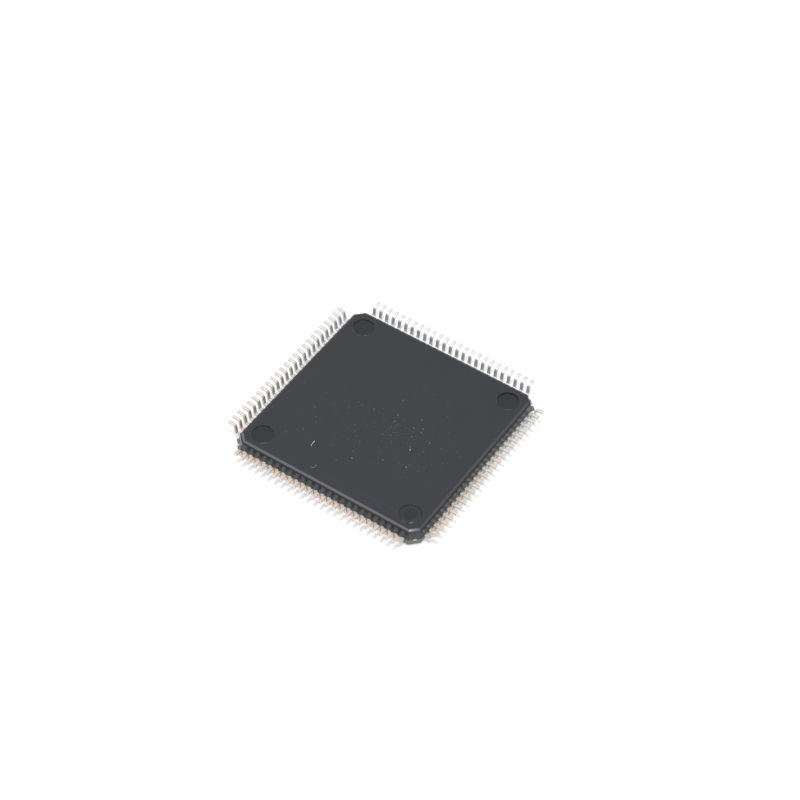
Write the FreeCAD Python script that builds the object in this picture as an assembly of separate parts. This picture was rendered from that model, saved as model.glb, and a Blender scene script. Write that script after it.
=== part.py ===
import FreeCAD, Part
import math
import os

# Quad flat pack chip: a moulded epoxy body with gull-wing leads on all four sides.
# It lies upside down, as a loose chip often lands: its marked face is on the ground
# and the soldering faces of its lead feet look up.
# Millimetres, +Z up. The origin is on the ground, under the centre of the body.
# Side by side names: front is -Y, right is +X, back is +Y and left is -X.

# Moulded body
body_side = 14.0              # across the parting line
body_thickness = 1.4
draft_angle = 12.0            # degrees, both halves slope in from the parting line
corner_chamfer = 0.65         # leg of each chamfered corner at the parting line
edge_bevel = 0.15             # narrow bevel round both faces
ejector_diameter = 1.42       # round marks of the mould's ejector pins
ejector_depth = 0.1
ejector_offset = 5.6          # from the centre lines
pin_one_diameter = 1.0        # dimple in the marked face, in the clean corner
pin_one_depth = 0.08
pin_one_offset = 5.7

# Lead frame, stamped from one strip
frame_thickness = 0.127
lead_pitch = 0.5
lead_width = 0.22
lead_reach = 1.0              # from the body's side to the tip of the foot
standoff = 0.1                # from the body's face to the soldering plane
foot_length = 0.6             # to the slope, where it is one gauge height off the soldering plane
gauge_height = 0.25
slope_tilt = 8.0              # degrees off vertical
shoulder_radius = 0.1         # inside radius of the bend next to the body
heel_radius = 0.12            # inside radius of the bend next to the foot
bend_sag = 0.016              # the flats of a bend lie this close to its arc
row_end_clearance = 0.2       # from the last lead of a row to the corner chamfer
frame_gap = 0.1               # between neighbouring pieces of the frame
tip_width = 0.14              # lead inside the body, at its inner end
tip_gap = 0.6                 # from the die pad to the inner ends

# Die pad and the four tie bars that hold it in the strip
pad_side = 7.5
pad_offset = 0.2              # the pad stands off the plane of the leads
tie_bar_width = 0.2
tie_bar_slope = 0.45          # length of the step between the two planes
tie_bar_proud = 0.02          # cut end outside the corner

# Resin flash beside the cut ends of the tie bars
flash_width = 0.34
flash_reach = 0.14
flash_gap = 0.03
flash_corners = (0, 1, 2)     # right back, left back and left front; the last corner is clean

# Silicon die, its glue and its bond wires
die_side = 6.0
die_thickness = 0.28
glue_thickness = 0.025
bond_inset = 0.1              # from the edge of the die to its row of bond pads
bond_row_end = 0.36           # from the end of a row of pads to the corner of the die
wire_thickness = 0.03
wire_loop = 0.15              # height of the loop over the face of the die
stitch_length = 0.12          # flattened end of a wire on its lead
stitch_inset = 0.08           # from the inner end of the lead to the wire

# Heights and half widths that follow from the sizes above
half_side = body_side / 2
parting_z = body_thickness / 2
seat_z = body_thickness + standoff
frame_low = parting_z - frame_thickness / 2
frame_high = parting_z + frame_thickness / 2
draft_inset = parting_z * math.tan(math.radians(draft_angle))
pad_low = frame_low + pad_offset
pad_high = frame_high + pad_offset
die_high = pad_low - glue_thickness
die_low = die_high - die_thickness
tie_bar_half_diagonal = tie_bar_width / math.sqrt(2)
cut_margin = 0.2              # how far a cutting tool passes the surface that it cuts

# Rows of leads: as many as fit between the chamfered corners
row_room = body_side - 2 * (corner_chamfer + row_end_clearance) - lead_width
leads_per_side = int(row_room / lead_pitch + 1e-6) + 1
tip_line = pad_side / 2 + tip_gap
tip_row_half = tip_line - tie_bar_half_diagonal - frame_gap - tip_width / 2
tip_pitch = 2 * tip_row_half / (leads_per_side - 1)
bond_line = die_side / 2 - bond_inset
bond_pitch = (die_side - 2 * bond_row_end) / (leads_per_side - 1)


def vector(x, y, z):
    return FreeCAD.Vector(x, y, z)


def polygon(points):
    """A plane face with straight edges through the points."""
    return Part.Face(Part.makePolygon(points + [points[0]]))


def turned(shape, quarter_turns):
    """A copy of the shape, turned about the vertical axis through the origin."""
    copy = shape.copy()
    copy.rotate(vector(0, 0, 0), vector(0, 0, 1), 90 * quarter_turns)
    return copy


def row_places(pitch):
    """Places along a row, spread evenly about its middle."""
    middle = (leads_per_side - 1) / 2
    return [(index - middle) * pitch for index in range(leads_per_side)]


def body_outline(inset, z):
    """Corners of the body's octagon at one height, moved in from its outline at the parting line."""
    side = half_side - inset
    short = side - corner_chamfer + (2 - math.sqrt(2)) * inset
    corners = [(side, short), (short, side), (-short, side), (-side, short)]
    corners += [(-x, -y) for x, y in corners]
    return [vector(x, y, z) for x, y in corners]


def body_half(face_z):
    """One half of the moulding, from the parting line to a face with a bevelled edge."""
    bevel_z = face_z + math.copysign(edge_bevel, parting_z - face_z)
    wall_inset = draft_inset * (1 - edge_bevel / parting_z)
    outlines = [body_outline(0, parting_z), body_outline(wall_inset, bevel_z)]
    outlines += [body_outline(wall_inset + edge_bevel, face_z)]
    faces = [polygon(outlines[0]), polygon(outlines[-1])]
    for low, high in zip(outlines, outlines[1:]):
        faces += [polygon([low[i - 1], low[i], high[i], high[i - 1]]) for i in range(len(low))]
    half = Part.Solid(Part.Shell(faces))
    return half if half.Volume > 0 else half.reversed()


def flash_stub(side):
    """Thin resin that squeezed out beside one tie bar, in the plane of the frame."""
    inner = tie_bar_width / 2 + flash_gap
    root = (body_side - corner_chamfer) / math.sqrt(2) - cut_margin
    reach = root + cut_margin + flash_reach
    places = [(root, inner), (reach - flash_reach / 4, inner), (reach, inner + flash_width / 3)]
    places += [(reach, inner + flash_width), (root, inner + flash_width - cut_margin)]
    outline = polygon([vector(out, side * along, frame_low) for out, along in places])
    stub = outline.extrude(vector(0, 0, frame_thickness))
    stub.rotate(vector(0, 0, 0), vector(0, 0, 1), 45)
    return stub


def ejector_marks():
    """Cutting tools of the round marks in the upper face, one near each corner."""
    floor_z = body_thickness - ejector_depth
    tool = Part.makeCylinder(ejector_diameter / 2, ejector_depth + cut_margin, vector(0, 0, floor_z))
    tool.translate(vector(ejector_offset, ejector_offset, 0))
    return [turned(tool, corner) for corner in range(4)]


def pin_one_dimple():
    """Cutting tool of the dimple in the marked face that tells the first lead's corner."""
    place = vector(pin_one_offset, -pin_one_offset, -cut_margin)
    return Part.makeCylinder(pin_one_diameter / 2, pin_one_depth + cut_margin, place)


def lead_inner_part(place, place_at_tip):
    """The flat part of a back lead, which fans in from the body's side towards the die pad."""
    half, tip_half = lead_width / 2, tip_width / 2
    corners = [(place_at_tip + tip_half, tip_line), (place + half, half_side)]
    corners += [(place - half, half_side), (place_at_tip - tip_half, tip_line)]
    outline = polygon([vector(x, y, frame_low) for x, y in corners])
    return outline.extrude(vector(0, 0, frame_thickness))


def bend(centre, radius, start, end):
    """Points along an arc in side view, as (y, z), from one angle to another in degrees."""
    widest = 2 * math.degrees(math.acos(1 - bend_sag / radius))
    flats = math.ceil(abs(end - start) / widest)
    angles = [math.radians(start + (end - start) * step / flats) for step in range(flats + 1)]
    return [(centre[0] + radius * math.cos(a), centre[1] + radius * math.sin(a)) for a in angles]


def from_slope(distance, z):
    """Side view point at height z, this far outward of the slope's face that looks at the body."""
    lean = math.radians(slope_tilt)
    gauge_y = half_side + lead_reach - foot_length
    gauge_z = seat_z - gauge_height
    return gauge_y + (distance + (z - gauge_z) * math.sin(lean)) / math.cos(lean), z


def gull_wing(place):
    """A back lead outside the body: shoulder, slope and foot, bent from one strip."""
    foot_low = seat_z - frame_thickness
    tip_y = half_side + lead_reach
    shoulder_outside = shoulder_radius + frame_thickness
    heel_outside = heel_radius + frame_thickness
    shoulder = from_slope(-shoulder_radius, frame_high + shoulder_radius)
    heel = from_slope(heel_outside, foot_low - heel_radius)
    body_face = bend(shoulder, shoulder_radius, -90, -slope_tilt)
    body_face += bend(heel, heel_outside, 180 - slope_tilt, 90)
    far_face = bend(heel, heel_radius, 90, 180 - slope_tilt)
    far_face += bend(shoulder, shoulder_outside, -slope_tilt, -90)
    side_view = [(half_side, frame_high)] + body_face + [(tip_y, seat_z), (tip_y, foot_low)]
    side_view += far_face + [(half_side, frame_low)]
    x = place - lead_width / 2
    return polygon([vector(x, y, z) for y, z in side_view]).extrude(vector(lead_width, 0, 0))


def back_leads():
    """The row of leads on the back side, each one solid from its inner end to its foot."""
    pairs = zip(row_places(lead_pitch), row_places(tip_pitch))
    return [gull_wing(a).fuse(lead_inner_part(a, b)).removeSplitter() for a, b in pairs]


def tie_bar():
    """One tie bar, in side view from the middle of the pad to the cut end at the corner."""
    pad_corner = pad_side / math.sqrt(2)
    end = (body_side - corner_chamfer) / math.sqrt(2) + tie_bar_proud
    step = pad_corner + tie_bar_slope
    upper = [(0, pad_high), (pad_corner, pad_high), (step, frame_high), (end, frame_high)]
    lower = [(end, frame_low), (step, frame_low), (pad_corner, pad_low), (0, pad_low)]
    side_view = polygon([vector(out, -tie_bar_width / 2, z) for out, z in upper + lower])
    bar = side_view.extrude(vector(0, tie_bar_width, 0))
    bar.rotate(vector(0, 0, 0), vector(0, 0, 1), 45)
    return bar


def die_pad():
    """The square pad and its four tie bars, one piece."""
    corner = vector(-pad_side / 2, -pad_side / 2, pad_low)
    plate = Part.makeBox(pad_side, pad_side, frame_thickness, corner)
    return plate.fuse([turned(tie_bar(), corner) for corner in range(4)]).removeSplitter()


def centred_plate(side, low, thickness):
    return Part.makeBox(side, side, thickness, vector(-side / 2, -side / 2, low))


def bond_wire(place_on_die, place_at_tip):
    """A wire from the downward face of the die to the under side of one back lead."""
    lead_y = tip_line + stitch_inset + stitch_length
    share = (lead_y - tip_line) / (half_side - tip_line)
    place_root = place_at_tip * lead_pitch / tip_pitch
    lead_x = place_at_tip + share * (place_root - place_at_tip)
    run = vector(lead_x - place_on_die, lead_y - bond_line, 0)
    length = run.Length
    loop_z = die_low - wire_loop
    foot = wire_thickness
    side_view = [(0, die_low), (0, loop_z), (length, frame_low), (length - stitch_length, frame_low)]
    side_view += [(foot, loop_z + wire_thickness * 1.5), (foot, die_low)]
    outline = polygon([vector(along, -wire_thickness / 2, z) for along, z in side_view])
    wire = outline.extrude(vector(0, wire_thickness, 0))
    wire.rotate(vector(0, 0, 0), vector(0, 0, 1), math.degrees(math.atan2(run.y, run.x)))
    wire.translate(vector(place_on_die, bond_line, 0))
    return wire


def back_wires():
    """The row of bond wires that join the die to the back leads."""
    pairs = zip(row_places(bond_pitch), row_places(tip_pitch))
    return [bond_wire(a, b) for a, b in pairs]


def package_body(inserts):
    """The moulding: two drafted halves, flash at three corners, and the room of all it encloses."""
    halves = body_half(0).fuse(body_half(body_thickness)).removeSplitter()
    stubs = [turned(flash_stub(side), corner) for corner in flash_corners for side in (-1, 1)]
    return halves.fuse(stubs).cut(ejector_marks() + [pin_one_dimple()]).cut(inserts)


def write(name, shape):
    shape.exportStep("parts/" + name + ".step")


os.makedirs("parts", exist_ok=True)
leads = back_leads()
wires = back_wires()
buried = [lead_inner_part(a, b) for a, b in zip(row_places(lead_pitch), row_places(tip_pitch))]
pad = die_pad()
glue = centred_plate(die_side, die_high, glue_thickness)
die = centred_plate(die_side, die_low, die_thickness)
inserts = [turned(piece, side) for side in range(4) for piece in buried + wires] + [pad, glue, die]
for side, side_name in enumerate(("back", "left", "front", "right")):
    write("leads_" + side_name, Part.Compound([turned(lead, side) for lead in leads]))
    write("bond_wires_" + side_name, Part.Compound([turned(wire, side) for wire in wires]))
write("die_pad", pad)
write("die_glue", glue)
write("silicon_die", die)
write("package_body", package_body(inserts))
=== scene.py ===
"""Looks of a quad flat pack chip that lies upside down, with its soldering feet up.

Lengths are in millimetres until a mesh is finished, which turns them into metres.
Front is -Y, right is +X, back is +Y and left is -X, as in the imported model.
"""

import logging
import math
import random
from dataclasses import dataclass
from enum import Enum, IntEnum

import bmesh
import bpy
from mathutils import Matrix, Vector, noise


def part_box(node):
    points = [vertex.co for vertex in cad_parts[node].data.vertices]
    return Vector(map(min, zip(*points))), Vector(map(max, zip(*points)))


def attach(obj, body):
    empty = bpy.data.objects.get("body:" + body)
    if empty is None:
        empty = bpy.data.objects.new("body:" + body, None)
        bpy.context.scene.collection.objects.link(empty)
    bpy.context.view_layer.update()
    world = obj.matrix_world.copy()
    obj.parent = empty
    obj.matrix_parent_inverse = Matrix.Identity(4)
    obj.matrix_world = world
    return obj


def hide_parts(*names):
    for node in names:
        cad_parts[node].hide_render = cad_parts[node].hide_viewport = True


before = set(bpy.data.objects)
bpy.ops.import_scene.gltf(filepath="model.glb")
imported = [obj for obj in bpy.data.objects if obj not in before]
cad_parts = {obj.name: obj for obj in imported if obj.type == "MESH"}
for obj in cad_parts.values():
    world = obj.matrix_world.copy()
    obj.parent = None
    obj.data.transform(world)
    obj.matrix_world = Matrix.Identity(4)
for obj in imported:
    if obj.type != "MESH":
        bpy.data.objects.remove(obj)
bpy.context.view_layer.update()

MM = 0.001
BODY = "root"
UP = Vector((0, 0, 1))
WELD = 1e-4                       # points closer than this are one, in millimetres
LOG = logging.getLogger("chip")

# Sockets of the colour Mix node, whose names repeat for each of its data types
MIX_A, MIX_B, MIX_RESULT = 6, 7, 2


class Side(Enum):
    """The four sides, by their quarter turns from the back."""

    BACK = 0
    LEFT = 1
    FRONT = 2
    RIGHT = 3

    @property
    def word(self) -> str:
        """The side's name as the nodes of the frame spell it."""
        return self.name.lower()

    @property
    def turn(self) -> Matrix:
        """The turn that carries a piece drawn at the back to this side."""
        return Matrix.Rotation(math.radians(90 * self.value), 4, "Z")


class Corner(Enum):
    """The four chamfered corners, by their quarter turns from the right back one."""

    RIGHT_BACK = 0
    LEFT_BACK = 1
    LEFT_FRONT = 2
    RIGHT_FRONT = 3

    @property
    def turn(self) -> Matrix:
        """The turn that carries +X to the outward direction of this corner."""
        return Matrix.Rotation(math.radians(45 + 90 * self.value), 4, "Z")


class Skin(IntEnum):
    """The finishes of the moulding, by their material number."""

    FACE = 0
    PIN_MARK = 1
    WALL = 2
    FLASH = 3
    MARKED_FACE = 4
    EDGE = 5


class LeadSkin(IntEnum):
    """The finishes of a lead, by their material number."""

    TIN = 0
    CUT = 1


class Fluff(IntEnum):
    """The finishes of the lint and dust, by their material number."""

    LINT = 0
    GREY = 1
    FAINT = 2


def corner_mm(node: str, highest: bool) -> Vector:
    """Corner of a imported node's box.

    Args:
        node: Name of the node.
        highest: True for the highest corner and False for the lowest.

    Returns:
        The corner in millimetres.
    """
    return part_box(node)[int(highest)] / MM


def per_metre(size_mm: float) -> float:
    """Scale of a texture whose features are this many millimetres apart."""
    return 1 / (size_mm * MM)


def linear(hex_colour: str) -> tuple[float, float, float, float]:
    """Turn a written sRGB colour into the linear one that a shader takes.

    Args:
        hex_colour: The colour as #RRGGBB.

    Returns:
        Red, green, blue and an alpha of 1.
    """
    parts = [int(hex_colour[i:i + 2], 16) / 255 for i in (1, 3, 5)]
    red, green, blue = [c / 12.92 if c <= 0.04045 else ((c + 0.055) / 1.055) ** 2.4 for c in parts]
    return red, green, blue, 1.0


def add_node(tree: bpy.types.NodeTree, kind: str, inputs: dict | None = None,
             **settings: object) -> bpy.types.Node:
    """Add a node with its settings and links.

    Args:
        tree: The node tree that takes it.
        kind: Blender's name for the kind of node.
        inputs: For each input, by name or number, its value or the output that feeds it.
        **settings: Properties of the node itself.

    Returns:
        The new node.
    """
    node = tree.nodes.new(kind)
    for name, value in settings.items():
        setattr(node, name, value)
    for name, value in (inputs or {}).items():
        if isinstance(value, bpy.types.NodeSocket):
            tree.links.new(value, node.inputs[name])
        else:
            node.inputs[name].default_value = value
    return node


def new_material(name: str) -> tuple[bpy.types.Material, bpy.types.NodeTree, bpy.types.NodeSocket]:
    """Start a material from an empty tree.

    Args:
        name: What the real material is.

    Returns:
        The material, its tree and the output of a Texture Coordinate node in object space.
    """
    material = bpy.data.materials.new(name)
    material.use_nodes = True
    tree = material.node_tree
    tree.nodes.clear()
    place = add_node(tree, "ShaderNodeTexCoord").outputs["Object"]
    return material, tree, place


def add_noise(tree: bpy.types.NodeTree, place: bpy.types.NodeSocket, size_mm: float,
              detail: float = 2.0) -> bpy.types.NodeSocket:
    """Add soft noise between 0 and 1.

    Args:
        tree: The node tree that takes it.
        place: Coordinates in metres.
        size_mm: Size of its features.
        detail: Octaves of finer noise within them.

    Returns:
        The output that holds it.
    """
    return add_node(tree, "ShaderNodeTexNoise", {
        "Vector": place, "Scale": per_metre(size_mm), "Detail": detail}).outputs[0]


def add_math(tree: bpy.types.NodeTree, operation: str, first: bpy.types.NodeSocket,
             second: bpy.types.NodeSocket | float) -> bpy.types.NodeSocket:
    """Add a node that works out one number from two.

    Args:
        tree: The node tree that takes it.
        operation: Blender's name for what it does.
        first: The first number.
        second: The second one.

    Returns:
        The output that holds the result.
    """
    return add_node(tree, "ShaderNodeMath", {0: first, 1: second}, operation=operation).outputs[0]


def add_range(tree: bpy.types.NodeTree, value: bpy.types.NodeSocket, taken: tuple = (0.0, 1.0),
              given: tuple = (0.0, 1.0)) -> bpy.types.NodeSocket:
    """Add a node that turns one range of numbers into another.

    Args:
        tree: The node tree that takes it.
        value: The number.
        taken: Start and end of the range it comes from.
        given: What these two become.

    Returns:
        The output that holds the result.
    """
    return add_node(tree, "ShaderNodeMapRange", {
        "Value": value, "From Min": taken[0], "From Max": taken[1],
        "To Min": given[0], "To Max": given[1]}).outputs[0]


def add_mix(tree: bpy.types.NodeTree, share: bpy.types.NodeSocket | float,
            first: bpy.types.NodeSocket | str,
            second: bpy.types.NodeSocket | str) -> bpy.types.NodeSocket:
    """Add a node that mixes two colours.

    Args:
        tree: The node tree that takes it.
        share: Share of the second colour.
        first: The first colour, as #RRGGBB or the output that holds it.
        second: The second colour, given in the same way.

    Returns:
        The output that holds the mixture.
    """
    ends = [linear(colour) if isinstance(colour, str) else colour for colour in (first, second)]
    mixed = add_node(tree, "ShaderNodeMix", {0: share, MIX_A: ends[0], MIX_B: ends[1]},
                     data_type="RGBA")
    return mixed.outputs[MIX_RESULT]


def add_bump(tree: bpy.types.NodeTree, height: bpy.types.NodeSocket,
             depth_mm: float) -> bpy.types.NodeSocket:
    """Normals of a surface with a fine relief of this depth."""
    return add_node(tree, "ShaderNodeBump", {
        "Height": height, "Distance": depth_mm * MM}).outputs[0]


def add_surface(tree: bpy.types.NodeTree, inputs: dict) -> None:
    """Put a Principled shader with these inputs on the material's surface."""
    shader = add_node(tree, "ShaderNodeBsdfPrincipled", inputs)
    add_node(tree, "ShaderNodeOutputMaterial", {"Surface": shader.outputs["BSDF"]})


@dataclass(frozen=True)
class MouldedEpoxy:
    """Silica-filled black epoxy, as a steel mould leaves it.

    A spark-eroded mould gives it a fine matte grain that scatters a soft sheen. Under an
    ejector pin, which is ground, the same resin comes out smoother and so looks darker, and
    its colour there is painted a little darker too, as painted shade in the recess.
    """

    name: str
    colour: str = "#121920"
    bloom_and_sheen: str = "#192028"        # filler that shows through the skin, in faint clouds; on the flash, painted reflection
    cloud_mm: float = 2.6
    roughness: float = 0.44
    roughness_spread: float = 0.10
    grain_mm: float = 0.055
    grain_height_mm: float = 0.0022
    ior: float = 1.55
    dust_mm: float = 0.0          # spacing of settled dust, and 0 for none
    dust_share: float = 0.10      # radius of a grain of dust over that spacing
    dust_core: float = 0.4        # share of that radius under its full cover
    dust_colour: str = "#96989C"
    dust_amount: float = 0.55
    patch_size: float = 1.6       # of a patch of dust over that of a cloud
    patch_noise: tuple = (0.47, 0.62)   # noise where a patch starts and where it is full

    def material(self) -> bpy.types.Material:
        """Build the material.

        Returns:
            The new material.
        """
        material, tree, place = new_material(self.name)
        clouds = add_noise(tree, place, self.cloud_mm, detail=4.0)
        grain = add_noise(tree, place, self.grain_mm)
        colour = add_mix(tree, clouds, self.colour, self.bloom_and_sheen)
        if self.dust_mm:
            colour = add_mix(tree, self._dust(tree, place), colour, self.dust_colour)
        spread = self.roughness_spread / 2
        rough = add_range(tree, grain, given=(self.roughness - spread, self.roughness + spread))
        add_surface(tree, {
            "Base Color": colour, "Roughness": rough, "IOR": self.ior,
            "Normal": add_bump(tree, grain, self.grain_height_mm)})
        return material

    def _dust(self, tree: bpy.types.NodeTree, place: bpy.types.NodeSocket) -> bpy.types.NodeSocket:
        """Share of dust at each point: sparse round grains, thicker where a patch of it settled.

        Args:
            tree: The material's tree.
            place: Object coordinates.

        Returns:
            The output that holds the share.
        """
        cells = add_node(tree, "ShaderNodeTexVoronoi", {
            "Vector": place, "Scale": per_metre(self.dust_mm)})
        grains = add_range(tree, cells.outputs["Distance"],
                           (self.dust_share * self.dust_core, self.dust_share),
                           (self.dust_amount, 0.0))
        patches = add_noise(tree, place, self.cloud_mm * self.patch_size, detail=1.0)
        settled = add_range(tree, patches, self.patch_noise)
        each = add_node(tree, "ShaderNodeSeparateColor", {"Color": cells.outputs["Color"]})
        kept = add_math(tree, "MULTIPLY", each.outputs["Red"], each.outputs["Green"])
        return add_math(tree, "MULTIPLY", add_math(tree, "MULTIPLY", kept, settled), grains)


@dataclass(frozen=True)
class PlatedTin:
    """Matte tin, plated on the copper alloy of the leads after moulding.

    Its fine crystals blur reflections. A painted warm reflection makes it warmer, most on the
    front row and least on the back row, and noise tints each lead a little pink or green.
    """

    name: str = "matte_tin_plating"
    colour: str = "#DCE1DF"
    # Painted warm reflection, most on the front row and least on the back row
    painted_warmth: str = "#D8CBC1"
    painted_warmth_way: tuple = (0.3, -0.95, 0.0)
    painted_warmth_reach_mm: float = 16.0  # along that way, from none of the painted warm reflection to all of it
    pink: str = "#D1BFBB"
    green: str = "#CAD0C3"
    tint: float = 0.28
    tint_noise: tuple = (0.38, 0.62)    # noise of the purest pink and the purest green
    cloud_mm: float = 0.6
    roughness: float = 0.6
    roughness_spread: float = 0.12
    metallic: float = 0.85        # the crystals and their oxide scatter the rest
    crystal_mm: float = 0.035     # real ones are near 0.004 and too fine to show, so drawn coarser
    crystal_height_mm: float = 0.0012

    def material(self) -> bpy.types.Material:
        """Build the material.

        Returns:
            The new material.
        """
        material, tree, place = new_material(self.name)
        clouds = add_noise(tree, place, self.cloud_mm, detail=1.0)
        tints = add_mix(tree, add_range(tree, clouds, self.tint_noise), self.pink, self.green)
        crystals = add_noise(tree, place, self.crystal_mm)
        # Painted warm reflection: the tin's colour turns warmer towards the front row
        along = add_node(tree, "ShaderNodeVectorMath", {
            0: place, 1: self.painted_warmth_way}, operation="DOT_PRODUCT").outputs["Value"]
        half_reach = self.painted_warmth_reach_mm * MM / 2
        forward = add_range(tree, along, (-half_reach, half_reach))
        tin = add_mix(tree, forward, self.colour, self.painted_warmth)
        colour = add_mix(tree, self.tint, tin, tints)
        spread = self.roughness_spread / 2
        rough = add_range(tree, crystals, given=(self.roughness - spread, self.roughness + spread))
        add_surface(tree, {
            "Base Color": colour, "Metallic": self.metallic, "Roughness": rough,
            "Normal": add_bump(tree, crystals, self.crystal_height_mm)})
        return material


@dataclass(frozen=True)
class ShearedCopper:
    """Copper alloy where a tool cut it after plating, bare but for smears of tin.

    The cut leaves fine upright scores and a pale salmon tone next to the tin.
    """

    name: str = "copper_alloy_sheared"
    colour: str = "#D2BBAE"
    smear: str = "#E8DED6"
    score_mm: float = 0.02
    score_stretch: float = 0.12   # width of a score over its length
    smear_mm: float = 0.09
    roughness: float = 0.38
    score_height_mm: float = 0.0015

    def material(self) -> bpy.types.Material:
        """Build the material.

        Returns:
            The new material.
        """
        material, tree, place = new_material(self.name)
        stretched = add_node(tree, "ShaderNodeMapping", {
            "Vector": place, "Scale": (1.0, 1.0, self.score_stretch)}).outputs[0]
        scores = add_noise(tree, stretched, self.score_mm)
        smears = add_noise(tree, place, self.smear_mm)
        add_surface(tree, {
            "Base Color": add_mix(tree, smears, self.colour, self.smear), "Metallic": 1.0,
            "Roughness": self.roughness, "Normal": add_bump(tree, scores, self.score_height_mm)})
        return material


@dataclass(frozen=True)
class SilverGlue:
    """Epoxy glue filled with silver flakes, cured dull grey with a sparkle of flakes."""

    name: str = "silver_filled_epoxy_glue"
    colour: str = "#A9A9A6"
    flake: str = "#DCDCDA"
    flake_mm: float = 0.03        # twice the real size, so that the flakes show
    metallic: float = 0.4         # share of the surface that is silver
    roughness: float = 0.55

    def material(self) -> bpy.types.Material:
        """Build the material.

        Returns:
            The new material.
        """
        material, tree, place = new_material(self.name)
        flakes = add_node(tree, "ShaderNodeTexVoronoi", {
            "Vector": place, "Scale": per_metre(self.flake_mm)}).outputs["Distance"]
        add_surface(tree, {
            "Base Color": add_mix(tree, flakes, self.flake, self.colour),
            "Metallic": self.metallic, "Roughness": self.roughness})
        return material


@dataclass(frozen=True)
class PolishedSilicon:
    """A silicon die with its circuit layers, polished and coated in clear nitride.

    Blocks of fine circuit lines show as dark tiles of slightly different tints.
    """

    name: str = "silicon_die_nitride_coated"
    colour: str = "#5A5668"
    lines: str = "#7E8A78"
    streets: str = "#B9A876"
    block_mm: float = 0.9         # size of a block, of which the next three are shares
    block_width: float = 1.3
    block_height: float = 0.8
    street_width: float = 0.03
    metallic: float = 0.6         # the circuit's wiring, under clear nitride
    roughness: float = 0.16

    def material(self) -> bpy.types.Material:
        """Build the material.

        Returns:
            The new material.
        """
        material, tree, place = new_material(self.name)
        blocks = add_node(tree, "ShaderNodeTexBrick", {
            "Vector": place, "Scale": per_metre(self.block_mm), "Color1": linear(self.colour),
            "Color2": linear(self.lines), "Mortar": linear(self.streets),
            "Mortar Size": self.street_width, "Brick Width": self.block_width,
            "Row Height": self.block_height})
        add_surface(tree, {
            "Base Color": blocks.outputs["Color"], "Metallic": self.metallic,
            "Roughness": self.roughness})
        return material


@dataclass(frozen=True)
class DrawnGold:
    """Gold wire drawn through a die, bright with faint drawing lines."""

    name: str = "gold_wire_drawn"
    colour: str = "#F2C56B"
    worn: str = "#E3B25A"
    line_mm: float = 0.01         # real ones are near 0.002 and too fine to show
    roughness: float = 0.22

    def material(self) -> bpy.types.Material:
        """Build the material.

        Returns:
            The new material.
        """
        material, tree, place = new_material(self.name)
        lines = add_noise(tree, place, self.line_mm)
        add_surface(tree, {
            "Base Color": add_mix(tree, lines, self.colour, self.worn), "Metallic": 1.0,
            "Roughness": self.roughness})
        return material


@dataclass(frozen=True)
class Lint:
    """Paper and cloth lint, dull and near white, with a little fuzz at its edges."""

    name: str = "lint_cotton"
    colour: str = "#F0F0F2"
    shade: str = "#C2C3C8"
    fibre_mm: float = 0.04        # twice a real fibre's width, so that the fibres show
    sheen: float = 0.3
    roughness: float = 0.9

    def material(self) -> bpy.types.Material:
        """Build the material.

        Returns:
            The new material.
        """
        material, tree, place = new_material(self.name)
        fibres = add_noise(tree, place, self.fibre_mm)
        add_surface(tree, {
            "Base Color": add_mix(tree, fibres, self.colour, self.shade),
            "Roughness": self.roughness, "Sheen Weight": self.sheen})
        return material


def new_piece(name: str, bm: bmesh.types.BMesh,
              finishes: list[bpy.types.Material]) -> bpy.types.Object:
    """Turn a mesh drawn in millimetres into a named object in metres that rides on the body.

    Args:
        name: Name of the piece.
        bm: The drawn mesh, which is freed.
        finishes: Materials, in the order of the faces' material numbers.

    Returns:
        The new object.
    """
    bmesh.ops.scale(bm, vec=(MM, MM, MM), verts=bm.verts)
    mesh = bpy.data.meshes.new(name)
    bm.to_mesh(mesh)
    bm.free()
    for finish in finishes:
        mesh.materials.append(finish)
    piece = bpy.data.objects.new(name, mesh)
    bpy.context.scene.collection.objects.link(piece)
    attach(piece, BODY)
    LOG.info("%s: %d faces", name, len(mesh.polygons))
    return piece


def join_part(bm: bmesh.types.BMesh, part: bmesh.types.BMesh) -> None:
    """Add a separately drawn part to a mesh and free it.

    Args:
        bm: The mesh that takes it.
        part: The part.
    """
    mesh = bpy.data.meshes.new("part")
    part.to_mesh(mesh)
    part.free()
    bm.from_mesh(mesh)
    bpy.data.meshes.remove(mesh)


def smooth_by_angle(bm: bmesh.types.BMesh, degrees: float) -> None:
    """Shade all faces smooth, apart from edges that turn more sharply than an angle.

    Args:
        bm: The mesh.
        degrees: The angle.
    """
    for face in bm.faces:
        face.smooth = True
    limit = math.radians(degrees)
    for edge in bm.edges:
        edge.smooth = len(edge.link_faces) == 2 and edge.calc_face_angle(math.pi) < limit


def even_shading(piece: bpy.types.Object) -> None:
    """Let large flat faces keep their own normals beside narrow bevels."""
    modifier = piece.modifiers.new("even_shading", "WEIGHTED_NORMAL")
    modifier.keep_sharp = True


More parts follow.
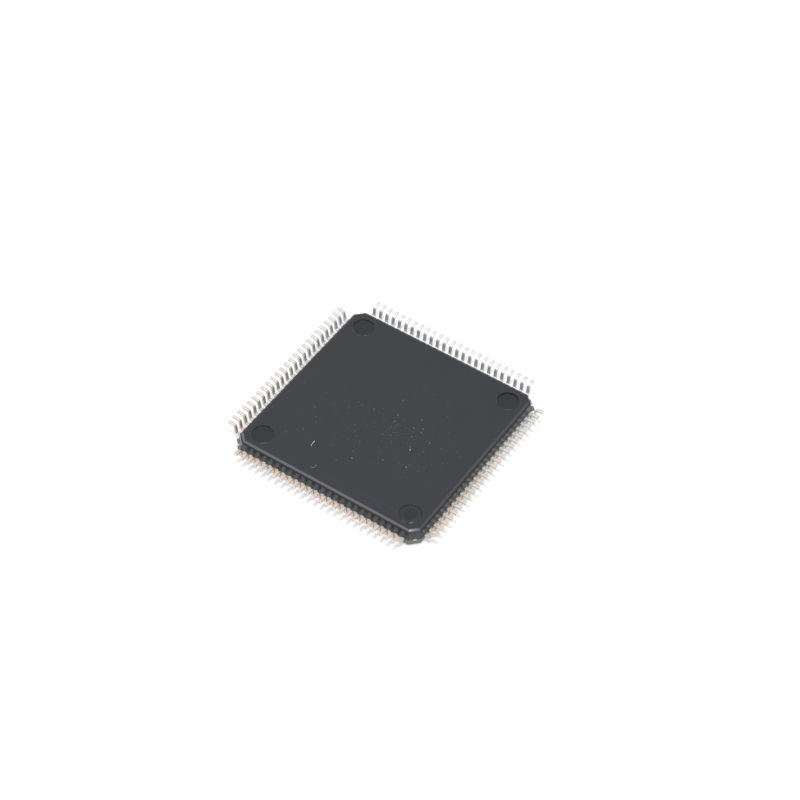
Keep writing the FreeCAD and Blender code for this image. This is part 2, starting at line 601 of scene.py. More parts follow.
@dataclass(frozen=True)
class RoundRecess:
    """A shallow round recess with a raised rim, as a mould pin leaves it, in a face on z = 0."""

    x: float
    y: float
    diameter: float
    depth: float
    rim_height: float = 0.02
    rim_width: float = 0.05
    rim_inner: float = 0.7        # height of its inner edge, as a share of its own
    rim_waves: tuple = ((0.5, 4.0), (0.7, 14.0))   # how much it varies, and how finely
    wall_steps: tuple = (0.006, -0.004, -0.010, -0.020)  # its wall, outwards of the radius
    wall_round: float = 0.01
    floor_rings: tuple = (0.88, 0.78, 0.68, 0.58, 0.45, 0.25, 0.1, 0)   # shares of the radius
    rubble: float = 0.0           # height of the crumbs of resin round its floor
    rubble_from: float = 0.5      # shares of the radius: where crumbs start,
    bare_floor: float = 0.62      # and up to where the floor has a pin's finish beside them
    rubble_gap: float = 0.03      # between crumbs and wall
    rubble_lean: float = 0.4      # how much more of them lies towards +X
    rubble_cover: float = 0.2
    rubble_noise: float = 6.0
    steps: int = 64

    def draw(self) -> bmesh.types.BMesh:
        """Turn the recess's profile about its centre.

        Returns:
            The recess, open along the circle where its rim meets the face, which looks up.
        """
        radius = self.diameter / 2
        wall_heights = (self.rim_height * self.rim_inner, -self.wall_round,
                        self.wall_round - self.depth, -self.depth)
        profile = [(radius + self.rim_width, 0), (radius + self.rim_width / 2, self.rim_height)]
        profile += [(radius + out, up) for out, up in zip(self.wall_steps, wall_heights)]
        profile += [(radius * share, -self.depth) for share in self.floor_rings]
        part = bmesh.new()
        spun = [part.verts.new((self.x + out, self.y, up)) for out, up in profile]
        edges = [part.edges.new(pair) for pair in zip(spun, spun[1:])]
        bmesh.ops.spin(part, geom=spun + edges, cent=(self.x, self.y, 0), axis=UP, angle=math.tau,
                       steps=self.steps, use_merge=True)
        bmesh.ops.remove_doubles(part, verts=part.verts, dist=WELD)
        inner = radius * (self.bare_floor if self.rubble else 1.0)
        for face in part.faces:
            centre = face.calc_center_median()
            within = math.hypot(centre.x - self.x, centre.y - self.y) < inner
            face.material_index = Skin.PIN_MARK if within else Skin.EDGE
        self._roughen(part, radius)
        return part

    def _roughen(self, part: bmesh.types.BMesh, radius: float) -> None:
        """Make the rim uneven, and heap crumbs round the floor where there are any.

        Args:
            part: The recess.
            radius: Radius of the recess.
        """
        for vert in part.verts:
            away = Vector((vert.co.x - self.x, vert.co.y - self.y, 0)).length
            if vert.co.z > WELD:
                waves = [share * noise.noise(vert.co * fine) for share, fine in self.rim_waves]
                vert.co.z *= sum(waves, 1)
            elif self.rubble and self.rubble_from * radius < away < radius - self.rubble_gap:
                share = 1 - self.rubble_lean + self.rubble_lean * (vert.co.x - self.x) / radius
                heap = noise.noise(vert.co * self.rubble_noise) + self.rubble_cover
                vert.co.z += self.rubble * share * max(0.0, heap)


@dataclass(frozen=True)
class FlashStub:
    """Thin resin that squeezed out past a chamfered corner, beside the cut tie bar."""

    corner: Corner
    start: float                  # along the chamfer, from its middle
    end: float
    reach: float                  # out of the chamfer
    horn: float = 0.0             # how much further its outer end reaches


@dataclass(frozen=True)
class Moulding:
    """The package body: two drafted halves, ejector marks and flash, one casting."""

    side: float = 14.0
    corner_chamfer: float = 0.65
    draft_angle: float = 12.0
    edge_flats: tuple = ((0.075, 0.07), (0.15, 0.083))   # inwards and up, from the wall to the face
    edge_softness: float = 0.02
    sharp_angle: float = 22.0     # edges that turn more, in degrees, are shaded sharp
    mark_diameter: float = 1.42
    mark_depth: float = 0.1
    mark_offset: float = 5.6
    mark_shares: tuple = (        # how much of that depth each pin's mark has
        (Corner.RIGHT_BACK, 0.75), (Corner.LEFT_BACK, 0.5), (Corner.LEFT_FRONT, 0.4),
        (Corner.RIGHT_FRONT, 0.3))
    mark_rubble: float = 0.07     # height of the crumbs in the right front one
    dimple_diameter: float = 1.0
    dimple_depth: float = 0.08
    dimple_offset: float = 5.7
    flash_thickness: float = 0.11
    flash_root: float = 0.1       # how deep in the body it starts
    flash_cuts: int = 4
    flash_jitter: float = 0.025
    flash_noise: float = 7.0
    flash_taper: float = 0.45     # share of its thickness that is lost at its outer end
    flash_smoothing: float = 0.4
    stubs: tuple = (              # the right front corner is clean
        FlashStub(Corner.LEFT_FRONT, start=0.10, end=0.56, reach=0.15, horn=0.03),
        FlashStub(Corner.LEFT_FRONT, start=-0.46, end=-0.09, reach=0.11),
        FlashStub(Corner.RIGHT_BACK, start=0.05, end=0.46, reach=0.10),
        FlashStub(Corner.RIGHT_BACK, start=-0.50, end=-0.11, reach=0.15, horn=0.02),
        FlashStub(Corner.LEFT_BACK, start=0.13, end=0.47, reach=0.13),
        FlashStub(Corner.LEFT_BACK, start=-0.47, end=-0.13, reach=0.14))

    def build(self) -> bpy.types.Object:
        """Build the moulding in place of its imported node.

        Returns:
            The new piece.
        """
        height = corner_mm("package_body", True).z
        bm = bmesh.new()
        self._draw_half(bm, height / 2)
        bmesh.ops.mirror(bm, geom=bm.verts[:] + bm.edges[:] + bm.faces[:], axis="Z",
                         merge_dist=WELD)
        bmesh.ops.translate(bm, vec=(0, 0, height / 2), verts=bm.verts)
        for face in bm.faces:
            if face.material_index == Skin.FACE and face.calc_center_median().z < height / 2:
                face.material_index = Skin.MARKED_FACE
        self._open_face(bm, height, self._ejector_marks(), facing=1)
        self._open_face(bm, 0, [self._pin_one_dimple()], facing=-1)
        bmesh.ops.recalc_face_normals(bm, faces=bm.faces)
        for stub in self.stubs:
            join_part(bm, self._draw_stub(stub, height / 2))
        smooth_by_angle(bm, self.sharp_angle)
        piece = new_piece("moulded_body", bm, self._finishes())
        even_shading(piece)
        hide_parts("package_body")
        return piece

    @staticmethod
    def _finishes() -> list[bpy.types.Material]:
        """Finishes of the casting, in the order of Skin.

        Polished parts of the mould leave the walls, edges and flash smoother than the faces.

        Returns:
            The new materials.
        """
        epoxy = "epoxy_moulding_compound"
        return [
            MouldedEpoxy(epoxy, dust_mm=0.19).material(),
            # Pin marks: colour painted a little darker than the face's, as painted shade in the
            # recess
            MouldedEpoxy(epoxy + "_pin_mark", colour="#12171E", bloom_and_sheen="#171D25", ior=1.475,
                         roughness=0.28, roughness_spread=0.05, grain_height_mm=0.0006).material(),
            MouldedEpoxy(epoxy + "_wall", ior=1.72, roughness=0.28, roughness_spread=0.05,
                         grain_height_mm=0.0007).material(),
            # The flash's light grey colour and its lighter clouds are painted reflection of the
            # bright surroundings
            MouldedEpoxy(epoxy + "_flash", colour="#5E6464", bloom_and_sheen="#7C8282", cloud_mm=0.2,
                         ior=1.7, roughness=0.26, roughness_spread=0.08,
                         grain_height_mm=0.0010).material(),
            MouldedEpoxy(epoxy + "_marked_face").material(),
            MouldedEpoxy(epoxy + "_edge", roughness=0.29, roughness_spread=0.05,
                         grain_height_mm=0.0008).material()]

    def _draw_half(self, bm: bmesh.types.BMesh, height: float) -> None:
        """Draw the upper half on z = 0: an octagon with draft, whose edge is broken in two flats.

        Args:
            bm: The mesh that takes it.
            height: Height of the half.
        """
        bmesh.ops.create_grid(bm, x_segments=1, y_segments=1, size=self.side / 2)
        bmesh.ops.bevel(bm, geom=bm.verts[:], offset=self.corner_chamfer, affect="VERTICES",
                        segments=1, profile=0.5, material=-1)
        wall_height = height - sum(up for _, up in self.edge_flats)
        draft = math.tan(math.radians(self.draft_angle))
        flats = [(wall_height * draft, wall_height), *self.edge_flats]
        for skin, (inwards, up) in zip((Skin.WALL, Skin.EDGE, Skin.EDGE), flats):
            top = max(bm.faces, key=lambda face: face.calc_center_median().z)
            made = bmesh.ops.inset_region(bm, faces=[top], thickness=inwards, use_boundary=True,
                                          use_even_offset=True)
            bmesh.ops.translate(bm, vec=(0, 0, up), verts=top.verts)
            for face in made["faces"]:
                face.material_index = skin
        closed = [edge for edge in bm.edges if not edge.is_boundary]
        bmesh.ops.bevel(bm, geom=closed, offset=self.edge_softness, affect="EDGES", segments=2,
                        profile=0.5, material=Skin.EDGE)

    def _ejector_marks(self) -> list[RoundRecess]:
        """The round marks of the four ejector pins, whose lengths differed a little.

        Returns:
            One recess for each corner, the right front one with crumbs of resin in it.
        """
        marks = []
        for corner, share in self.mark_shares:
            centre = corner.turn @ Vector((self.mark_offset * math.sqrt(2), 0, 0))
            rubble = self.mark_rubble if corner is Corner.RIGHT_FRONT else 0.0
            marks.append(RoundRecess(centre.x, centre.y, self.mark_diameter,
                                     self.mark_depth * share, rubble=rubble))
        return marks

    def _pin_one_dimple(self) -> RoundRecess:
        """The dimple that tells the first lead's corner."""
        return RoundRecess(self.dimple_offset, -self.dimple_offset, self.dimple_diameter,
                           self.dimple_depth, rim_height=0.0)

    @staticmethod
    def _open_face(bm: bmesh.types.BMesh, face_z: float, recesses: list[RoundRecess],
                   facing: int) -> None:
        """Cut one flat face open for its recesses and fill what is left of it flat.

        Args:
            bm: The body.
            face_z: Height of the face.
            recesses: What goes into it.
            facing: 1 for the upper face and -1 for the lower one.
        """
        flat = [face for face in bm.faces if abs(face.calc_center_median().z - face_z) < WELD]
        material = flat[0].material_index
        bmesh.ops.delete(bm, geom=flat, context="FACES_ONLY")
        place = Matrix.Translation((0, 0, face_z)) @ Matrix.Diagonal((1, 1, facing, 1))
        for recess in recesses:
            part = recess.draw()
            bmesh.ops.transform(part, matrix=place, verts=part.verts)
            join_part(bm, part)
        rims = [edge for edge in bm.edges if edge.is_boundary]
        filled = bmesh.ops.triangle_fill(bm, edges=rims, use_beauty=True, normal=UP * facing)
        for item in filled["geom"]:
            if isinstance(item, bmesh.types.BMFace):
                item.material_index = material

    def _draw_stub(self, stub: FlashStub, parting_z: float) -> bmesh.types.BMesh:
        """Draw one ragged stub of flash at the parting line.

        Args:
            stub: Where it is and how far it reaches.
            parting_z: Height of the parting line.

        Returns:
            The stub.
        """
        chamfer_out = (self.side - self.corner_chamfer) / math.sqrt(2)
        root = chamfer_out - self.flash_root
        size = Vector((stub.reach + self.flash_root, stub.end - stub.start, self.flash_thickness))
        middle = Vector((root + size.x / 2, (stub.start + stub.end) / 2, parting_z))
        place = Matrix.Translation(middle) @ Matrix.Diagonal(size).to_4x4()
        part = bmesh.new()
        bmesh.ops.create_cube(part, size=1.0, matrix=place)
        bmesh.ops.subdivide_edges(part, edges=part.edges, cuts=self.flash_cuts, use_grid_fill=True)
        for vert in part.verts:
            out = max(0.0, vert.co.x - chamfer_out) / stub.reach
            lean = (vert.co.y - middle.y) / size.y * 2
            ragged = noise.noise(vert.co * self.flash_noise) * self.flash_jitter
            vert.co.x += out * (ragged + stub.horn * max(0.0, lean * math.copysign(1, middle.y)))
            thinned = (vert.co.z - parting_z) * (1 - self.flash_taper * out)
            vert.co.z = parting_z + thinned + ragged * out / 2
        bmesh.ops.smooth_vert(part, verts=part.verts, factor=self.flash_smoothing, use_axis_x=True,
                              use_axis_y=True, use_axis_z=True)
        for face in part.faces:
            face.material_index = Skin.FLASH
        bmesh.ops.transform(part, matrix=stub.corner.turn, verts=part.verts)
        return part


@dataclass
class Strip:
    """A strip of lead frame that is drawn forward from its moving end."""

    bm: bmesh.types.BMesh
    end: bmesh.types.BMFace

    def _move_on(self, made: list) -> None:
        """Take the new end from the geometry made, and open the wall between it and the strip.

        Args:
            made: What an operator says that it made last.
        """
        old = self.end
        self.end = next(item for item in made if isinstance(item, bmesh.types.BMFace))
        if all(len(edge.link_faces) > 2 for edge in old.edges):
            bmesh.ops.delete(self.bm, geom=[old], context="FACES_ONLY")

    def run(self, step: Vector, widen: float = 1.0) -> None:
        """Draw a straight stretch.

        Args:
            step: How far the end moves.
            widen: Share by which the end's width changes on the way.
        """
        self._move_on(bmesh.ops.extrude_face_region(self.bm, geom=[self.end])["geom"])
        bmesh.ops.translate(self.bm, vec=step, verts=self.end.verts)
        centre = Matrix.Translation(-self.end.calc_center_median())
        bmesh.ops.scale(self.bm, vec=(widen, 1, 1), space=centre, verts=self.end.verts)

    def bend(self, centre: Vector, degrees: float, steps: int) -> None:
        """Bend the strip about an axis across it.

        Args:
            centre: A point on the axis.
            degrees: Turn from +Y towards +Z.
            steps: Flats that make up the bend.
        """
        made = bmesh.ops.spin(self.bm, geom=[self.end], cent=centre, axis=(1, 0, 0),
                              angle=math.radians(degrees), steps=steps)
        self._move_on(made["geom_last"])


@dataclass(frozen=True)
class LeadRow:
    """The leads of one side, each stamped and bent from one strip."""

    side: Side
    count: int = 25
    pitch: float = 0.5
    width: float = 0.22
    tip_width: float = 0.14
    tip_pitch: float = 0.3366
    root: float = 7.0             # where the strip leaves the body
    thickness: float = 0.127
    slope_tilt: float = 8.0
    shoulder_radius: float = 0.1
    heel_radius: float = 0.12
    bend_steps: int = 5
    nub_start: float = 0.05       # remnant of the cut dam bar, from the body
    nub_length: float = 0.09
    nub_ramp: float = 0.01
    nub_widen: float = 1.16
    edge_round: float = 0.052
    edge_angle: float = 60.0      # edges that turn more, in degrees, are rounded
    across_share: float = 0.8     # unless they run across the strip by more than this share
    root_margin: float = 0.1      # or start further inside the body than this
    sharp_angle: float = 50.0     # and, once rounded, shaded sharp
    foot_length: float = 0.6      # to the slope, one gauge height off the soldering plane
    gauge_height: float = 0.25
    toe_lift: float = 3.0         # degrees by which the feet rise towards their tips

    def build(self, finishes: list[bpy.types.Material]) -> bpy.types.Object:
        """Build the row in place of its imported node.

        Args:
            finishes: Tin for the strip and sheared copper for its tip, in the order of LeadSkin.

        Returns:
            The new piece.
        """
        bm = bmesh.new()
        for index in range(self.count):
            from_middle = index - (self.count - 1) / 2
            self._draw_lead(bm, from_middle * self.pitch, from_middle * self.tip_pitch)
        bmesh.ops.recalc_face_normals(bm, faces=bm.faces)
        self._round_edges(bm)
        smooth_by_angle(bm, self.sharp_angle)
        bmesh.ops.transform(bm, matrix=self.side.turn, verts=bm.verts)
        piece = new_piece("gull_wing_leads_" + self.side.word, bm, finishes)
        even_shading(piece)
        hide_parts("leads_" + self.side.word)
        return piece

    def _draw_lead(self, bm: bmesh.types.BMesh, place: float, place_at_tip: float) -> None:
        """Draw one back lead from its inner end to the tip of its foot.

        Args:
            bm: The mesh that takes it.
            place: Its place along the row, outside the body.
            place_at_tip: The place of its inner end.
        """
        low, high = corner_mm("leads_back", False), corner_mm("leads_back", True)
        middle_z = low.z + self.thickness / 2
        upright = Matrix.Rotation(math.radians(-90), 4, "X")
        section = Matrix.Diagonal((self.tip_width, 1, self.thickness, 1))
        start = Matrix.Translation((place_at_tip, low.y, middle_z)) @ section @ upright
        made = bmesh.ops.create_grid(bm, x_segments=1, y_segments=1, size=0.5, matrix=start)
        strip = Strip(bm, made["verts"][0].link_faces[0])
        strip.run(Vector((place - place_at_tip, self.root - low.y, 0)), self.width / self.tip_width)
        strip.run(Vector((0, self.nub_start, 0)))
        strip.run(Vector((0, self.nub_ramp, 0)), self.nub_widen)
        strip.run(Vector((0, self.nub_length, 0)))
        strip.run(Vector((0, self.nub_ramp, 0)), 1 / self.nub_widen)
        shoulder, heel = self._bend_centres(high)
        strip.run(Vector((0, shoulder.y - strip.end.calc_center_median().y, 0)))
        strip.bend(shoulder, 90 - self.slope_tilt, self.bend_steps)
        tilt = math.radians(self.slope_tilt)
        lean = Vector((0, math.sin(tilt), math.cos(tilt)))
        strip.run(lean * (heel - strip.end.calc_center_median()).dot(lean))
        strip.bend(heel, self.slope_tilt + self.toe_lift - 90, self.bend_steps)
        lift = math.radians(self.toe_lift)
        foot_run = high.y - self.thickness / 2 * math.sin(lift) - strip.end.calc_center_median().y
        strip.run(Vector((0, foot_run, foot_run * math.tan(lift))))
        strip.end.material_index = LeadSkin.CUT

    def _bend_centres(self, high: Vector) -> tuple[Vector, Vector]:
        """Centres of the two bends in side view, from the strip's inner radii.

        Args:
            high: Highest corner of the row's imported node: tip and soldering plane.

        Returns:
            The centre of the shoulder's bend and of the heel's bend.
        """
        low = corner_mm("leads_back", False)
        lean, lift = math.radians(self.slope_tilt), math.radians(self.toe_lift)
        foot_rise = (self.foot_length - self.gauge_height) * math.tan(lift)
        shoulder_z = low.z + self.thickness + self.shoulder_radius
        heel_z = high.z - foot_rise - self.thickness - self.heel_radius
        gauge = Vector((0, high.y - self.foot_length, high.z - self.gauge_height))

        def beside_slope(distance: float, z: float) -> Vector:
            """Point at height z, this far outward of the slope's face that looks at the body."""
            out = distance + (z - gauge.z) * math.sin(lean)
            return Vector((0, gauge.y + out / math.cos(lean), z))

        shoulder = beside_slope(-self.shoulder_radius, shoulder_z)
        heel = beside_slope(self.heel_radius + self.thickness, heel_z)
        return shoulder, heel

    def _round_edges(self, bm: bmesh.types.BMesh) -> None:
        """Round the long edges of every strip a little, as stamping and plating do.

        Edges across the strip, at its cut tip and inside the body stay as they are.

        Args:
            bm: The row, as it is drawn at the back.
        """
        caps = [face for face in bm.faces if face.material_index == LeadSkin.CUT]
        cap_edges = {edge for face in caps for edge in face.edges}
        long_edges = []
        for edge in bm.edges:
            across = abs(edge.verts[0].co.x - edge.verts[1].co.x)
            if (edge not in cap_edges and len(edge.link_faces) == 2
                    and edge.calc_face_angle(0) > math.radians(self.edge_angle)
                    and across < self.across_share * edge.calc_length()
                    and min(vert.co.y for vert in edge.verts) > self.root - self.root_margin):
                long_edges.append(edge)
        bmesh.ops.bevel(bm, geom=long_edges, offset=self.edge_round, affect="EDGES", segments=3,
                        profile=0.5, material=-1, clamp_overlap=True)


@dataclass(frozen=True)
class InnerParts:
    """What the moulding encloses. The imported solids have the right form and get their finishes."""

    def dress(self) -> None:
        """Give each enclosed node its material."""
        gold = DrawnGold().material()
        finishes = {
            "die_pad": ShearedCopper("copper_alloy_die_pad", colour="#B5A08A", smear="#C6BEAB",
                                     score_mm=0.05).material(),
            "die_glue": SilverGlue().material(),
            "silicon_die": PolishedSilicon().material()}
        finishes.update({"bond_wires_" + side.word: gold for side in Side})
        for node, finish in finishes.items():
            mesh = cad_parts[node].data
            mesh.materials.clear()
            mesh.materials.append(finish)
            LOG.info("%s: %s", node, finish.name)


@dataclass(frozen=True)
class Dust:
    """Lint that lies on the upper face: two short fibres, a trail of specks and faint powder.

    Fibres and specks lie where the photo shows them. The powder's places are drawn by lot.
    """

    fibre: tuple = ((-2.57, -4.67), (-2.59, -4.42), (-2.60, -4.19))
    fibre_radius: float = 0.021
    hooked_fibre: tuple = (
        (-1.55, -6.07), (-1.47, -6.06), (-1.40, -6.01), (-1.38, -5.92), (-1.38, -5.82),
        (-1.38, -5.72))
    hooked_radius: float = 0.014
    coarse_radius: float = 0.044
    medium_radius: float = 0.027
    fine_radius: float = 0.023
    coarse: tuple = ((3.31, -2.68), (0.12, -4.00), (2.74, -1.38))
    medium: tuple = (
        (-1.04, 0.14), (0.49, 0.59), (-1.37, -1.63), (-0.26, -2.57), (1.81, -3.03), (2.45, 0.53),
        (2.53, 0.18), (3.45, -0.19), (-0.15, -3.50), (1.93, 0.27), (2.24, -0.42), (2.60, -1.18))
    fine: tuple = (
        (-3.31, -0.51), (-2.16, 0.08), (-1.86, -0.02), (0.05, 1.82), (0.61, -0.04), (0.92, -0.03),
        (1.16, -0.06), (0.69, -0.49), (-0.99, -2.17), (-0.65, -2.34), (-0.53, -1.95), (1.50, -3.14),
        (1.07, -1.04), (1.39, -1.52), (0.67, 3.30), (1.44, 3.31), (1.32, 1.99), (1.98, 1.12),
        (3.42, 0.20), (4.02, 0.32), (3.47, -0.67), (3.50, -1.05), (-0.60, -4.71), (-1.46, -3.81),
        (2.45, 3.40), (3.19, 2.27), (-5.46, -2.54), (-4.51, -4.63), (-3.77, -3.81), (-4.22, -1.87),
        (-3.68, -2.52), (-3.44, -2.87), (2.07, -0.04), (2.47, -0.87))
    speck_sizes: tuple = (0.85, 1.15)   # smallest and largest over the radii above
    seed: int = 7
    powder_count: int = 150
    powder_x: tuple = (1.0, 2.3)  # middle and spread of the faint powder
    powder_y: tuple = (-0.9, 1.3)
    powder_reach: float = 6.4     # half side of the square that takes it
    powder_radius: float = 0.021
    powder_sizes: tuple = (0.7, 1.2)
    grain_widths: tuple = (0.6, 1.0)    # of specks and powder, over their length
    grain_height: float = 0.5

    def build(self) -> bpy.types.Object:
        """Build all the lint as one piece.

        Returns:
            The new piece.
        """
        top = corner_mm("package_body", True).z
        bm = bmesh.new()
        for bends, radius, finish in (
                (self.fibre, self.fibre_radius, Fluff.LINT),
                (self.hooked_fibre, self.hooked_radius, Fluff.GREY)):
            self._draw_fibre(bm, radius, [Vector((*bend, top)) for bend in bends], finish)
        draw = random.Random(self.seed)
        specks = []
        for places, radius, finish in (
                (self.coarse, self.coarse_radius, Fluff.LINT),
                (self.medium, self.medium_radius, Fluff.LINT),
                (self.fine, self.fine_radius, Fluff.GREY)):
            for place in places:
                specks.append((*place, radius * draw.uniform(*self.speck_sizes), finish))
        for _ in range(self.powder_count):
            x, y = draw.gauss(*self.powder_x), draw.gauss(*self.powder_y)
            if max(abs(x), abs(y)) < self.powder_reach:
                radius = self.powder_radius * draw.uniform(*self.powder_sizes)
                specks.append((x, y, radius, Fluff.FAINT))
        for x, y, radius, finish in specks:
            flat = Matrix.Diagonal((1, draw.uniform(*self.grain_widths), self.grain_height, 1))
            grain = bmesh.ops.create_icosphere(bm, subdivisions=1, radius=radius,
                                               matrix=Matrix.Translation((x, y, top)) @ flat)
            for vert in grain["verts"]:
                for face in vert.link_faces:
                    face.material_index = finish
        return new_piece("lint_on_face", bm, [
            Lint().material(), Lint("dust_grey", "#BCBEC3", "#9A9CA2").material(),
            Lint("dust_faint", "#8A8D93", "#6C6F75").material()])

    @staticmethod
    def _draw_fibre(bm: bmesh.types.BMesh, radius: float, points: list[Vector],
                    finish: Fluff) -> None:
        """Draw a thin fibre along points.

        Args:
            bm: The mesh that takes it.
            radius: Its radius.
            points: Its bends, on the face.
            finish: What it is made of.
        """
        way = (points[-1] - points[0]).to_track_quat("Z", "Y").to_matrix().to_4x4()
        place = Matrix.Translation(points[0]) @ way
        ring = bmesh.ops.create_circle(bm, cap_ends=True, segments=6, radius=radius, matrix=place)
        face = ring["verts"][0].link_faces[0]
        face.material_index = finish
        for here, there in zip(points, points[1:]):
            made = bmesh.ops.extrude_face_region(bm, geom=[face])["geom"]
            face = next(item for item in made if isinstance(item, bmesh.types.BMFace))
            bmesh.ops.translate(bm, vec=there - here, verts=face.verts)


def direction(azimuth: float, elevation: float) -> Vector:
    """Unit vector from the chip in a direction.

    Args:
        azimuth: Degrees from the front towards the right.
        elevation: Degrees above the floor.

    Returns:
        The vector.
    """
    turn, rise = math.radians(azimuth), math.radians(elevation)
    level = math.cos(rise)
    return Vector((math.sin(turn) * level, -math.cos(turn) * level, math.sin(rise)))


@dataclass(frozen=True)
class Softbox:
    """A soft lamp that looks at the chip from a direction and a distance."""

    name: str
    azimuth: float                # degrees from the front towards the right
    elevation: float              # degrees above the floor
    width: float
    height: float
    radiance: float               # watts from each square metre of it into each steradian
    colour: str = "#FFFFFF"
    distance: float = 400.0
    card: bool = False            # only mirrored, as a card is whose light doesn't count

    def build(self) -> None:
        """Hang the lamp."""
        lamp = bpy.data.lights.new(self.name, "AREA")
        lamp.shape = "RECTANGLE"
        lamp.size, lamp.size_y = self.width * MM, self.height * MM
        lamp.energy = self.radiance * math.pi * lamp.size * lamp.size_y
        lamp.color = linear(self.colour)[:3]
        towards = direction(self.azimuth, self.elevation)
        stand = bpy.data.objects.new(self.name, lamp)
        stand.location = towards * self.distance * MM
        stand.rotation_mode = "QUATERNION"
        stand.rotation_quaternion = towards.to_track_quat("Z", "Y")
        stand.visible_camera = False
        stand.visible_diffuse = not self.card
        bpy.context.scene.collection.objects.link(stand)


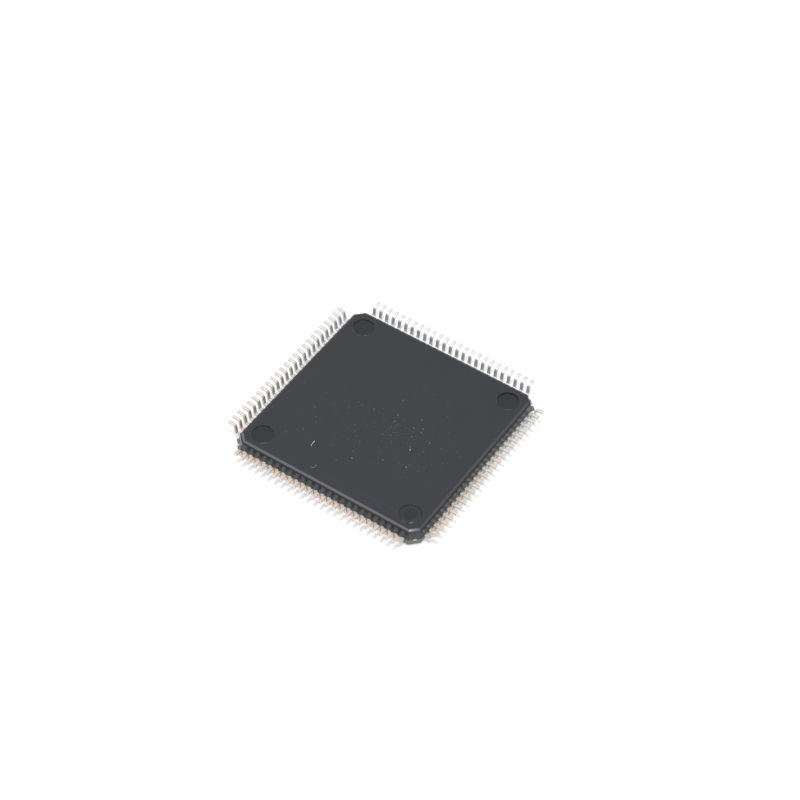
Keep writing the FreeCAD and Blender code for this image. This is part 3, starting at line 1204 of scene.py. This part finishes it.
@dataclass(frozen=True)
class Studio:
    """A white acrylic table in a white tent, with one small overhead lamp that casts the shadow.

    A bank and a window, large and weak, give the edges that face them their tone. The two
    cards are seen only by what mirrors them, so the floor gets no second shadow.
    """

    floor_half_side: float = 400.0
    floor_colour: str = "#E6E6E6"
    floor_roughness: float = 0.12
    floor_glow: float = 0.42      # what a camera or a shiny surface sees beside its lit colour
    fill_low: float = 0.10        # soft light of the tent's foot and of its top
    fill_high: float = 0.56
    fill_from: float = 0.3        # sines of the elevations between which it grows
    fill_to: float = 0.85
    warm: str = "#E3DAD3"         # lower wall of the tent, which the near feet mirror
    warm_below: float = 36.0      # degrees above the floor
    white_above: float = 50.0
    lamps: tuple = (
        Softbox("overhead", azimuth=36.5, elevation=71.4, width=45, height=45, radiance=150,
                distance=500),
        Softbox("front_bank", azimuth=-46, elevation=60, width=160, height=120, radiance=4.3,
                colour="#FAF6FF"),
        Softbox("window", azimuth=60, elevation=57, width=120, height=280, radiance=3.6,
                colour="#D4E4F8"),
        Softbox("side_card", azimuth=141, elevation=44, width=150, height=150, radiance=1.3,
                card=True),
        Softbox("left_card", azimuth=-94, elevation=31, width=150, height=150, radiance=3.5,
                card=True))

    def build(self) -> None:
        """Set up floor, lamps and world."""
        self._floor()
        self._world()
        for lamp in self.lamps:
            lamp.build()
        bpy.context.scene.view_settings.view_transform = "Standard"

    @staticmethod
    def _seen_directly(tree: bpy.types.NodeTree) -> bpy.types.NodeSocket:
        """One where a camera, a shiny surface or a clear one looks, and zero for soft light.

        Args:
            tree: The tree of the floor or of the world.

        Returns:
            The output that holds the share.
        """
        path = add_node(tree, "ShaderNodeLightPath")
        seen = path.outputs["Is Camera Ray"]
        for kind in ("Is Glossy Ray", "Is Transmission Ray"):
            seen = add_math(tree, "MAXIMUM", seen, path.outputs[kind])
        return seen

    def _floor(self) -> None:
        """Lay a glossy white floor that reads white and still takes the chip's shadow."""
        bm = bmesh.new()
        bmesh.ops.create_grid(bm, x_segments=1, y_segments=1, size=self.floor_half_side * MM)
        mesh = bpy.data.meshes.new("acrylic_table")
        bm.to_mesh(mesh)
        bm.free()
        floor = bpy.data.objects.new("acrylic_table", mesh)
        bpy.context.scene.collection.objects.link(floor)
        material = bpy.data.materials.new("white_acrylic_sheet")
        material.use_nodes = True
        tree = material.node_tree
        tree.nodes.clear()
        sheet = add_node(tree, "ShaderNodeBsdfPrincipled", {
            "Base Color": linear(self.floor_colour), "Roughness": self.floor_roughness})
        glow = add_math(tree, "MULTIPLY", self._seen_directly(tree), self.floor_glow)
        light = add_node(tree, "ShaderNodeEmission", {"Strength": glow})
        both = add_node(tree, "ShaderNodeAddShader", {0: sheet.outputs[0], 1: light.outputs[0]})
        add_node(tree, "ShaderNodeOutputMaterial", {"Surface": both.outputs[0]})
        mesh.materials.append(material)

    def _world(self) -> None:
        """Surround the chip with a white tent that fills shadows softly."""
        world = bpy.data.worlds.new("white_tent")
        bpy.context.scene.world = world
        world.use_nodes = True
        tree = world.node_tree
        tree.nodes.clear()
        way = add_node(tree, "ShaderNodeTexCoord").outputs["Generated"]
        rise = add_node(tree, "ShaderNodeSeparateXYZ", {0: way}).outputs["Z"]
        white_from, white_to = [
            math.sin(math.radians(angle)) for angle in (self.warm_below, self.white_above)]
        path = add_node(tree, "ShaderNodeLightPath")
        white = add_math(tree, "MAXIMUM", add_range(tree, rise, (white_from, white_to)),
                         path.outputs["Is Camera Ray"])
        fill = add_range(tree, rise, (self.fill_from, self.fill_to),
                         (self.fill_low, self.fill_high))
        tent = add_node(tree, "ShaderNodeBackground", {
            "Color": add_mix(tree, white, self.warm, "#FFFFFF"),
            "Strength": add_range(tree, self._seen_directly(tree), given=(fill, 1.0))})
        add_node(tree, "ShaderNodeOutputWorld", {"Surface": tent.outputs[0]})


@dataclass(frozen=True)
class PhotoCamera:
    """The camera of the photograph, placed by its direction, roll, distance and aim."""

    azimuth: float = 32.854
    elevation: float = 48.783
    roll: float = 1.555
    distance: float = 159.27
    image_px: float = 800.0
    focal_px: float = 2492.68
    aim_right: float = 0.8922     # where it aims, beside and above the frame's origin
    aim_up: float = 2.0283
    sensor: float = 36.0
    clip: tuple = (0.01, 10.0)    # in metres

    def build(self) -> None:
        """Place the camera and make it the scene's own."""
        back = direction(self.azimuth, self.elevation)
        level_right = UP.cross(back).normalized()
        turn = Matrix.Rotation(math.radians(self.roll), 3, back)
        right, up = turn @ level_right, turn @ back.cross(level_right)
        lens = bpy.data.cameras.new("camera")
        lens.sensor_width = self.sensor
        lens.lens = self.focal_px / self.image_px * self.sensor
        lens.clip_start, lens.clip_end = self.clip
        camera = bpy.data.objects.new("camera", lens)
        place = (right * self.aim_right + up * self.aim_up + back * self.distance) * MM
        facing = Matrix((right, up, back)).transposed().to_4x4()
        camera.matrix_world = Matrix.Translation(place) @ facing
        bpy.context.scene.collection.objects.link(camera)
        bpy.context.scene.camera = camera


def main() -> None:
    """Build every piece of the chip, then the table, the light and the camera."""
    logging.basicConfig(level=logging.INFO, format="%(name)s: %(message)s")
    Moulding().build()
    strip = [PlatedTin().material(), ShearedCopper().material()]
    for side in Side:
        LeadRow(side).build(strip)
    InnerParts().dress()
    Dust().build()
    Studio().build()
    PhotoCamera().build()


if __name__ == "__main__":
    main()
